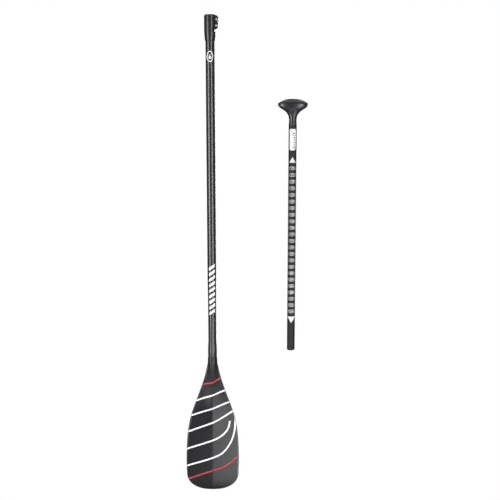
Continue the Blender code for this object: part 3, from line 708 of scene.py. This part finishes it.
# Half widths at distances below the blade's top, then a rounded tip
BLADE_HALF_WIDTHS = (
    (0.0000, 0.0134),
    (0.0300, 0.0169),
    (0.0650, 0.0246),
    (0.1030, 0.0371),
    (0.1445, 0.0528),
    (0.1850, 0.0670),
    (0.2250, 0.0760),
    (0.2700, 0.0806),
    (0.3285, 0.0823),
    (0.3665, 0.0810),
)
BLADE_WIDEST = max(half for _, half in BLADE_HALF_WIDTHS)
TIP_LENGTH = 0.0542
TIP_POWER = 2.3
BLADE_ROWS = 110
TIP_ROWS = 48
BLADE_COLUMNS = 72
# The blade's angle out of the shaft's line, and where it sets in
BLADE_CANT = math.radians(8.0)
CANT_START = 0.0280
CANT_BLEND = 0.0400
# Half thickness of the neck's middle, and of the edge at the neck and below it
NECK_HEIGHT = 0.01245
EDGE_HALF = (0.00015, 0.0016)
SPINE_START = 0.0100
SPINE_POWER = 1.2
# (ridge height, spine length) of the two faces
FRONT = (0.0032, 0.2900)
REAR = (0.0008, 0.1700)
SKIN = 0.0009
RAIL_WIDTH = 0.0030
RAIL_START = 0.0240
RAIL_ROUNDING = 0.4
# Where each of these changes sets in below the blade's top, as (start, length)
RAIL_FADE = (0.0120, 0.0300)
EDGE_FADE = (0.0, 0.0400)
ROUND_FADE = (0.0, 0.1200)
NARROW_FADE = (0.0050, 0.1600)
RIDGE_FADE = (0.0600, 0.1600)
# How far inside the outline the prints end, where the rail's face is rounded
PRINT_MARGIN = 0.0011


def blade_outline():
    """Right-hand edge as (half width, distance below the blade's top), from neck to tip."""
    shoulder, width = BLADE_HALF_WIDTHS[-1]
    edge = []
    for i in range(BLADE_ROWS):
        distance = shoulder * i / BLADE_ROWS
        edge.append((smooth_curve(BLADE_HALF_WIDTHS, distance, 1), distance))
    power = 2.0 / TIP_POWER
    for i in range(TIP_ROWS + 1):
        t = math.radians(90.0) * i / TIP_ROWS
        across = max(math.cos(t), 0.0) ** power
        edge.append((width * across, shoulder + TIP_LENGTH * math.sin(t) ** power))
    return edge


def inward_normals(edge):
    """The unit direction into the blade at each point of its edge."""
    past_tip = (-edge[-2][0], edge[-2][1])
    ways = [direction([*edge, past_tip], i) for i in range(len(edge))]
    return [(-down, across) for across, down in ways]


def rail_inset(distance):
    """Width of the edge rail, which starts below the neck."""
    return RAIL_WIDTH * smoothstep(distance, *RAIL_FADE)


def edge_half(distance):
    """Half thickness of the blade at its edge."""
    return EDGE_HALF[0] + (EDGE_HALF[1] - EDGE_HALF[0]) * smoothstep(distance, *EDGE_FADE)


def blade_middle(distance):
    """How far the blade's middle lies in front of the shaft's axis."""
    past = max(distance - CANT_START, 0.0)
    if past < CANT_BLEND:
        return -math.tan(BLADE_CANT) * past * past / (2 * CANT_BLEND)
    return -math.tan(BLADE_CANT) * (past - CANT_BLEND / 2)


def half_height(share, distance, half_width, face):
    """Half thickness at SHARE of the half width: round at the neck, a ridged spine below it."""
    ridge, spine_length = face
    share = min(abs(share), 1.0)
    spine = NECK_HEIGHT * (1.0 - smoothstep(distance, SPINE_START, spine_length)) ** SPINE_POWER
    roundness = 2.0 - 0.5 * smoothstep(distance, *ROUND_FADE)
    narrowness = 0.5 + 3.5 * smoothstep(distance, *NARROW_FADE)
    tent = ridge * smoothstep(distance, *RIDGE_FADE) * half_width / BLADE_WIDEST
    return (edge_half(distance) + tent * (1.0 - share)
            + spine * (1.0 - share ** roundness) ** narrowness)


OUTLINE = blade_outline()
OUTLINE_NORMALS = inward_normals(OUTLINE)


def skin_rows():
    """(half width, distance) of each skin row, inside the rail."""
    rows = []
    for (half, distance), (nx, nz) in zip(OUTLINE[:-1], OUTLINE_NORMALS):
        inset = rail_inset(distance)
        rows.append((half + nx * inset, distance + nz * inset))
    return rows


SKIN_ROWS = skin_rows()


def half_width_at(rows, distance):
    """The half width at DISTANCE on an edge of (half width, distance) rows, and 0 past its ends."""
    for (half_a, a), (half_b, b) in zip(rows, rows[1:]):
        if a <= distance <= b and b > a:
            return half_a + (half_b - half_a) * (distance - a) / (b - a)
    return 0.0


def make_skin(name, side, face):
    """A thin curved shell, the front with SIDE -1 or the rear with SIDE 1."""
    rows = []
    for half_width, distance in SKIN_ROWS:
        outer, inner = [], []
        for i in range(BLADE_COLUMNS + 1):
            share = -math.cos(math.pi * i / BLADE_COLUMNS)
            outer.append((share * half_width, half_height(share, distance, half_width, face)))
        for i, (x, y) in enumerate(outer):
            across, ahead = direction(outer, i)
            inner.append((x + SKIN * ahead, max(y - SKIN * across, EDGE_HALF[0])))
        middle, z = blade_middle(distance), BLADE_TOP_Z - distance
        rows.append([[(x, middle + side * y, z) for x, y in points] for points in (outer, inner)])
    obj = make_object(name + "_fine", ladder_loft(rows), BLADE_CARBON, 60.0)
    flat_uv(obj)
    stand_in(obj, name)


def make_rail():
    """The hard strip round the blade, with a rounded outer edge."""
    half_path = [row for row in zip(OUTLINE, OUTLINE_NORMALS) if row[0][1] >= RAIL_START]
    steps = 12
    turns = [math.radians(-90.0 + 180.0 * i / steps) for i in range(steps + 1)]
    rows = []
    for side in (1.0, -1.0):
        path = half_path if side > 0 else half_path[-2::-1]
        for (half, distance), (nx, nz) in path:
            width, thick = rail_inset(distance) - GAP, edge_half(distance)
            outer, inner = [], []
            for turn in turns:
                deep = min(RAIL_ROUNDING * width, thick) * (1.0 - math.cos(turn))
                for points, inward in ((outer, deep), (inner, width)):
                    down = distance + nz * inward
                    y = blade_middle(down) + thick * math.sin(turn)
                    points.append((side * (half + nx * inward), y, BLADE_TOP_Z - down))
            rows.append((outer, inner))
    obj = make_object("blade_edge_rail_fine", ladder_loft(rows), PLASTIC, 50.0)
    stand_in(obj, "blade_edge_rail")


# ---------------------------------------------------------------- grip

# Height, half width and half depth, from the grip's foot up to the rim of its cap
GRIP_SECTIONS = (
    (-0.2431, 0.0121, 0.0121),
    (-0.2310, 0.0112, 0.0112),
    (-0.2196, 0.0124, 0.0119),
    (-0.2108, 0.0162, 0.0130),
    (-0.2020, 0.0249, 0.0149),
    (-0.1932, 0.0381, 0.0172),
    (-0.1874, 0.0433, 0.0181),
    (-0.1822, 0.0442, 0.0182),
)
GRIP_WALL = 0.0023


def grip_profile():
    """(half width, half depth, height) from the grip's foot over its rim to the crown."""
    foot, rim = GRIP_SECTIONS[0][0], GRIP_SECTIONS[-1][0]
    width, depth = GRIP_SECTIONS[-1][1:]
    steps = 72
    profile = []
    for i in range(steps + 1):
        z = foot + (rim - foot) * i / steps
        profile.append((smooth_curve(GRIP_SECTIONS, z, 1), smooth_curve(GRIP_SECTIONS, z, 2), z))
    steps = 28
    for i in range(1, steps + 1):
        t = math.radians(90.0) * i / steps
        profile.append((width * math.cos(t), depth * math.cos(t),
                        rim + (GRIP_TOP_Z - rim) * math.sin(t)))
    profile[-1] = (0.0, 0.0, GRIP_TOP_Z)
    return profile


def grip_inner_profile(profile):
    """The inside of the grip's wall, point by point."""
    side = [(width, z) for width, _, z in profile]
    inner = []
    for i, (width, depth, z) in enumerate(profile):
        across, up = direction(side, i)
        wall = GRIP_WALL * up
        inner.append((max(width - wall, 0.0), max(depth - wall, 0.0), z + GRIP_WALL * across))
    foot = profile[0]
    inner[0] = (foot[0] - GRIP_WALL, foot[1] - GRIP_WALL, foot[2])
    inner[-1] = (0.0, 0.0, GRIP_TOP_Z - GRIP_WALL)
    return inner


def make_grip_half(name, side):
    """One moulded shell of the grip, from the parting plane out."""
    outer = grip_profile()
    inner = grip_inner_profile(outer)
    rows = []
    steps = 64
    for i in range(steps + 1):
        t = math.pi * i / steps
        across, ahead = math.cos(t), math.sin(t)
        rows.append([[(TUBE_X + w * across, side * (GAP / 2 + d * ahead), z)
                      for w, d, z in profile] for profile in (outer, inner)])
    obj = make_object(name + "_fine", ladder_loft(rows), GRIP_PLASTIC, 50.0)
    stand_in(obj, name)


# ---------------------------------------------------------------- prints


class Artwork:
    """Flat artwork in metres (across, up), cut in thin strips and laid on a curved surface."""

    def __init__(self):
        self.bm = bmesh.new()

    def polygon(self, points):
        self.bm.faces.new([self.bm.verts.new((a, b, 0.0)) for a, b in points])

    def band(self, near, far, closed=False):
        """A strip between two lines of as many points."""
        lines = [[self.bm.verts.new((a, b, 0.0)) for a, b in line] for line in (near, far)]
        count = len(near)
        for i in range(count if closed else count - 1):
            j = (i + 1) % count
            self.bm.faces.new((lines[0][i], lines[0][j], lines[1][j], lines[1][i]))

    def ring(self, width, height, line, centre):
        """An oval ring, LINE wide."""
        self.band(ellipse(width, height, centre),
                  ellipse(width - 2 * line, height - 2 * line, centre), closed=True)

    def box(self, left, right, low, high):
        self.polygon(((left, low), (right, low), (right, high), (left, high)))

    def text(self, words, size, centre):
        """Digits in Blender's own font."""
        curve = bpy.data.curves.new("digits", "FONT")
        curve.body = words
        curve.size = size
        curve.align_x = "CENTER"
        curve.align_y = "CENTER"
        curve.offset = size * 0.012
        obj = bpy.data.objects.new("digits", curve)
        bpy.context.scene.collection.objects.link(obj)
        bpy.context.view_layer.update()
        mesh = bpy.data.meshes.new_from_object(
            obj.evaluated_get(bpy.context.evaluated_depsgraph_get()))
        mesh.transform(Matrix.Translation((*centre, 0.0)))
        self.bm.from_mesh(mesh)
        bpy.data.objects.remove(obj)

    def lay(self, name, mat, body, place, strip=0.0008):
        """Bends the artwork onto a surface, where PLACE gives the point for (across, up)."""
        bm = self.bm
        bmesh.ops.remove_doubles(bm, verts=bm.verts, dist=1e-6)
        low = min(v.co.x for v in bm.verts)
        high = max(v.co.x for v in bm.verts)
        for i in range(1, math.ceil((high - low) / strip)):
            bmesh.ops.bisect_plane(bm, geom=bm.verts[:] + bm.edges[:] + bm.faces[:], dist=1e-7,
                                   plane_co=(low + i * strip, 0.0, 0.0), plane_no=(1.0, 0.0, 0.0))
        for vert in bm.verts:
            vert.co = place(vert.co.x, vert.co.y)
        bmesh.ops.dissolve_degenerate(bm, edges=bm.edges, dist=1e-6)
        obj = make_object(name, bm, mat, 60.0)
        solid = obj.modifiers.new("thickness", "SOLIDIFY")
        solid.thickness = PRINT_THICKNESS
        solid.offset = 0.0
        settle(obj)
        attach(obj, body)


def ellipse(width, height, centre, steps=64):
    """Points round an ellipse."""
    return [(centre[0] + width / 2 * math.cos(2 * math.pi * i / steps),
             centre[1] + height / 2 * math.sin(2 * math.pi * i / steps)) for i in range(steps)]


def on_shaft(across, up):
    """A point of the shaft's front at ACROSS round it."""
    radius = shaft_radius(up)
    return Vector((radius * math.sin(across / radius), -radius * math.cos(across / radius), up))


def on_tube(across, up, lift=0.0):
    """A point of the handle tube's front, LIFT above its surface."""
    turn = across / TUBE_RADIUS
    radius = TUBE_RADIUS + lift
    return Vector((TUBE_X + radius * math.sin(turn), -radius * math.cos(turn), up))


def on_blade(across, distance):
    """A point of the blade's front, DISTANCE below its top."""
    half_width = max(half_width_at(SKIN_ROWS, distance), 1e-6)
    height = half_height(across / half_width, distance, half_width, FRONT)
    return Vector((across, blade_middle(distance) - height, BLADE_TOP_Z - distance))


def make_emblem():
    """A plain drop in a ring, where the shaft carries its maker's sign."""
    width, height, line = 0.0212, 0.0320, 0.0030
    drop_width, drop_height, point = 0.0100, 0.0160, 1.6
    middle = -0.0446
    emblem = Artwork()
    emblem.ring(width, height, line, (0.0, middle))
    steps = 40
    drop = []
    for i in range(steps):
        t = 2 * math.pi * i / steps
        drop.append((drop_width / 2 * math.sin(t) * abs(math.sin(t / 2)) ** point,
                     middle + drop_height / 2 * math.cos(t)))
    emblem.polygon(drop)
    emblem.lay("shaft_emblem", WHITE_INK, "lower_section", on_shaft)


def make_bars():
    """Slanted bars, where the shaft carries lettering."""
    top, foot, count = -0.6635, -0.8220, 9
    left, right = -0.0088, 0.0106
    pitch = (top - foot) / count
    slant, thick = 0.0056, pitch * 0.56
    bars = Artwork()
    for i in range(count):
        low = foot + pitch * (i + 0.5) - thick / 2
        bars.polygon(((left, low - slant), (right, low + slant),
                      (right, low + thick + slant), (left, low + thick - slant)))
    bars.lay("shaft_bars", WHITE_INK, "lower_section", on_shaft)


def rounded_rectangle(width, height, radius, centre):
    """Points round a rectangle with round corners."""
    points = []
    for k, (sx, sy) in enumerate(((1, 1), (-1, 1), (-1, -1), (1, -1))):
        corner = (centre[0] + sx * (width / 2 - radius), centre[1] + sy * (height / 2 - radius))
        points += arc(radius, 90.0 * k, 90.0 * (k + 1), 8, corner)
    return points


def make_label():
    """The white label, with a row of plain marks and two thin lines in place of its text."""
    width, top, foot, corner = 0.0204, -0.2540, -0.3177, 0.0050
    label = Artwork()
    label.polygon(rounded_rectangle(width, top - foot, corner, (0.0, (top + foot) / 2)))
    label.lay("tube_label", LABEL_FILM, "handle_section", on_tube)

    marks = Artwork()
    count, heights = 7, (0.0042, 0.0034, 0.0038)
    left, right = 0.0016, 0.0052
    first, last = top - 0.0130, foot + 0.0090
    for i in range(count):
        up = first + (last - first) * i / (count - 1)
        half = heights[i % len(heights)] / 2
        marks.box(left, right, up - half, up + half)
    margin, half_line = 0.0070, 0.0002
    for across in (-0.0036, -0.0010):
        marks.box(across - half_line, across + half_line, foot + margin, top - margin)
    marks.lay("tube_label_marks", GREY_INK, "handle_section",
              lambda across, up: on_tube(across, up, PRINT_THICKNESS / 2))


def make_scale():
    """Triangles at both ends of the size scale, and numbered rings 20 mm apart between them."""
    # (half width, height of the base, height of the tip) of each triangle
    triangles = ((0.0106, -0.3543, -0.3374), (0.0145, -0.8272, -0.8473))
    count, top, spacing = 23, -0.3708, 0.0200
    width, height, line = 0.0210, 0.0107, 0.0009
    first_number, step, digits = 170, 2, 0.0072
    scale = Artwork()
    for half, base, tip in triangles:
        scale.polygon(((-half, base), (half, base), (0.0, tip)))
    for i in range(count):
        centre = (0.0, top - spacing * i)
        scale.ring(width, height, line, centre)
        scale.text(str(first_number + step * i), digits, centre)
    scale.lay("size_scale", WHITE_INK, "handle_section", on_tube)


def stripe(art, points, width):
    """A line on a smooth curve through (x, distance) points, cut off just inside the outline."""
    table = [(i, *point) for i, point in enumerate(points)]
    steps = 40 * (len(points) - 1)
    path = []
    for i in range(steps + 1):
        t = i * (len(points) - 1) / steps
        path.append((smooth_curve(table, t, 1), smooth_curve(table, t, 2)))
    near, far = [], []
    for i, (x, distance) in enumerate(path):
        across, fall = direction(path, i)
        for line, side in ((near, -width / 2), (far, width / 2)):
            down = distance + side * across
            limit = half_width_at(OUTLINE, down) - PRINT_MARGIN
            line.append((min(max(x - side * fall, -limit), limit), down))
    art.band(near, far)


# Lines across the blade's front, each through points (across, distance below the blade's top)
STRIPE_WIDTH = 0.0050
RED_STRIPES = (
    ((-0.0400, 0.0935), (0.0, 0.0833), (0.0320, 0.0680)),
    ((-0.0850, 0.3900), (0.0, 0.3610), (0.0333, 0.3508), (0.0578, 0.3345), (0.0830, 0.3128)),
)
WHITE_STRIPES = (
    ((-0.0590, 0.1448), (0.0, 0.1236), (0.0460, 0.1075)),
    ((-0.0720, 0.1900), (0.0, 0.1656), (0.0620, 0.1425)),
    ((-0.0800, 0.2400), (0.0, 0.2100), (0.0350, 0.1920), (0.0700, 0.1700)),
    ((-0.0840, 0.2940), (0.0, 0.2660), (0.0290, 0.2510), (0.0470, 0.2310), (0.0545, 0.2060)),
    ((-0.0860, 0.3475), (0.0, 0.3208), (0.0342, 0.3026), (0.0578, 0.2695), (0.0690, 0.2325),
     (0.0712, 0.1900)),
)


def make_stripes():
    """Plain nested wave lines across the blade's face."""
    for name, mat, lines in (("blade_red_stripes", RED_INK, RED_STRIPES),
                             ("blade_white_stripes", WHITE_INK, WHITE_STRIPES)):
        art = Artwork()
        for points in lines:
            stripe(art, points, STRIPE_WIDTH)
        art.lay(name, mat, "lower_section", on_blade, strip=0.0020)


# ---------------------------------------------------------------- scene


def repaint_cad_nodes():
    """New materials for the CAD meshes that are kept."""
    finishes = {
        "shaft_plug": FOAM,
        "tube_float": FOAM,
        "blade_core": FOAM,
        "blade_spigot": PLASTIC,
        "grip_spigot": PLASTIC,
        "bolt_washer_upper": STEEL,
        "bolt_washer_lower": STEEL,
        "cam_plate": STEEL,
        "lever_pivot_pin": STEEL,
    }
    for node, mat in finishes.items():
        slots = frame["nodes"][node].data.materials
        slots.clear()
        slots.append(mat)


def make_floor():
    """A wide white floor without shadows, low enough to clear the tube's foot at every pose."""
    half_size, drop = 30.0, 0.3200
    mat = bpy.data.materials.new("pale_floor")
    mat.use_nodes = True
    nodes = mat.node_tree.nodes
    white = nodes.new("ShaderNodeEmission")
    mat.node_tree.links.new(white.outputs[0], nodes["Material Output"].inputs["Surface"])
    bm = bmesh.new()
    bmesh.ops.create_grid(bm, x_segments=1, y_segments=1, size=half_size)
    floor = make_object("floor", bm, mat)
    floor.location.z = BLADE_TIP_Z - drop
    floor.visible_diffuse = False
    floor.visible_glossy = False
    floor.visible_shadow = False


def make_world():
    """White for the camera, and a dim grey room for the light on the object."""
    room_colour, room_strength = (0.55, 0.56, 0.58, 1.0), 0.22
    world = bpy.data.worlds.new("studio")
    bpy.context.scene.world = world
    world.use_nodes = True
    tree = world.node_tree
    backdrop = tree.nodes["Background"]
    backdrop.inputs["Color"].default_value = (1.0, 1.0, 1.0, 1.0)
    room = tree.nodes.new("ShaderNodeBackground")
    room.inputs["Color"].default_value = room_colour
    room.inputs["Strength"].default_value = room_strength
    mix = tree.nodes.new("ShaderNodeMixShader")
    path = tree.nodes.new("ShaderNodeLightPath")
    tree.links.new(path.outputs["Is Camera Ray"], mix.inputs[0])
    tree.links.new(room.outputs[0], mix.inputs[1])
    tree.links.new(backdrop.outputs[0], mix.inputs[2])
    tree.links.new(mix.outputs[0], tree.nodes["World Output"].inputs["Surface"])


def softbox(name, azimuth, elevation, distance, width, height, power, target):
    """An area light that faces TARGET. Azimuth 0 is at the camera's side, and 90 to its right."""
    light = bpy.data.lights.new(name, "AREA")
    light.shape = "RECTANGLE"
    light.size = width
    light.size_y = height
    light.energy = power
    obj = bpy.data.objects.new(name, light)
    bpy.context.scene.collection.objects.link(obj)
    a, e = math.radians(azimuth), math.radians(elevation)
    away = Vector((math.sin(a) * math.cos(e), -math.cos(a) * math.cos(e), math.sin(e)))
    obj.location = Vector(target) + away * distance
    obj.rotation_mode = "QUATERNION"
    obj.rotation_quaternion = (-away).to_track_quat("-Z", "Y")
    obj.visible_camera = False


def make_lights():
    """Tall strips beside and behind the shafts, panels for the blade, and lights from above."""
    shafts, clamp, blade = (0.117, 0.0, -0.735), (0.0, 0.0, 0.05), (0.0, -0.03, -1.35)
    # Azimuth, elevation, distance, width, height, power and target of each softbox
    softboxes = {
        "left_strip": (-47.0, 0.0, 3.0, 0.75, 2.15, 80.0, shafts),
        "right_strip": (37.0, 0.0, 3.0, 0.75, 2.15, 70.0, shafts),
        "blade_panel": (10.0, 0.0, 1.2, 0.42, 0.62, 4.9, blade),
        "front_reflector": (-4.0, 4.5, 3.0, 0.5, 0.4, 0.35, clamp),
        "overhead": (0.0, 80.0, 2.5, 2.5, 1.6, 18.0, shafts),
        "rear_strip": (180.0, 0.0, 3.0, 0.75, 2.15, 90.0, shafts),
        "rear_panel": (138.0, -30.0, 1.4, 0.9, 1.0, 5.0, blade),
        "back_left": (-150.0, 45.0, 3.2, 1.5, 1.5, 60.0, shafts),
        "back_right": (140.0, 45.0, 3.2, 1.5, 1.5, 60.0, shafts),
    }
    for name, settings in softboxes.items():
        softbox(name, *settings)


def make_camera():
    """A front view of the whole paddle, from a little above its middle."""
    target = Vector((0.117, 0.0, -0.6208))
    distance, elevation, half_view = 2.6, math.radians(10.2), math.radians(16.355)
    away = Vector((0.0, -math.cos(elevation), math.sin(elevation)))
    data = bpy.data.cameras.new("camera")
    data.sensor_width = 36.0
    data.lens = data.sensor_width / 2 / math.tan(half_view)
    camera = bpy.data.objects.new("camera", data)
    bpy.context.scene.collection.objects.link(camera)
    camera.location = target + away * distance
    camera.rotation_mode = "QUATERNION"
    camera.rotation_quaternion = (-away).to_track_quat("-Z", "Y")
    bpy.context.scene.camera = camera
    bpy.context.scene.view_settings.view_transform = "Standard"


make_camera()
make_world()
make_lights()
make_floor()

make_shaft()
make_ferrule()
make_tube()
make_end_plug()
make_collar()
make_bush()
for bolt in BOLT_Z:
    make_bolt(bolt)
make_lever()
make_skin("blade_front_skin", -1.0, FRONT)
make_skin("blade_rear_skin", 1.0, REAR)
make_rail()
make_grip_half("grip_front_half", -1.0)
make_grip_half("grip_rear_half", 1.0)

make_emblem()
make_bars()
make_label()
make_scale()
make_stripes()
repaint_cad_nodes()
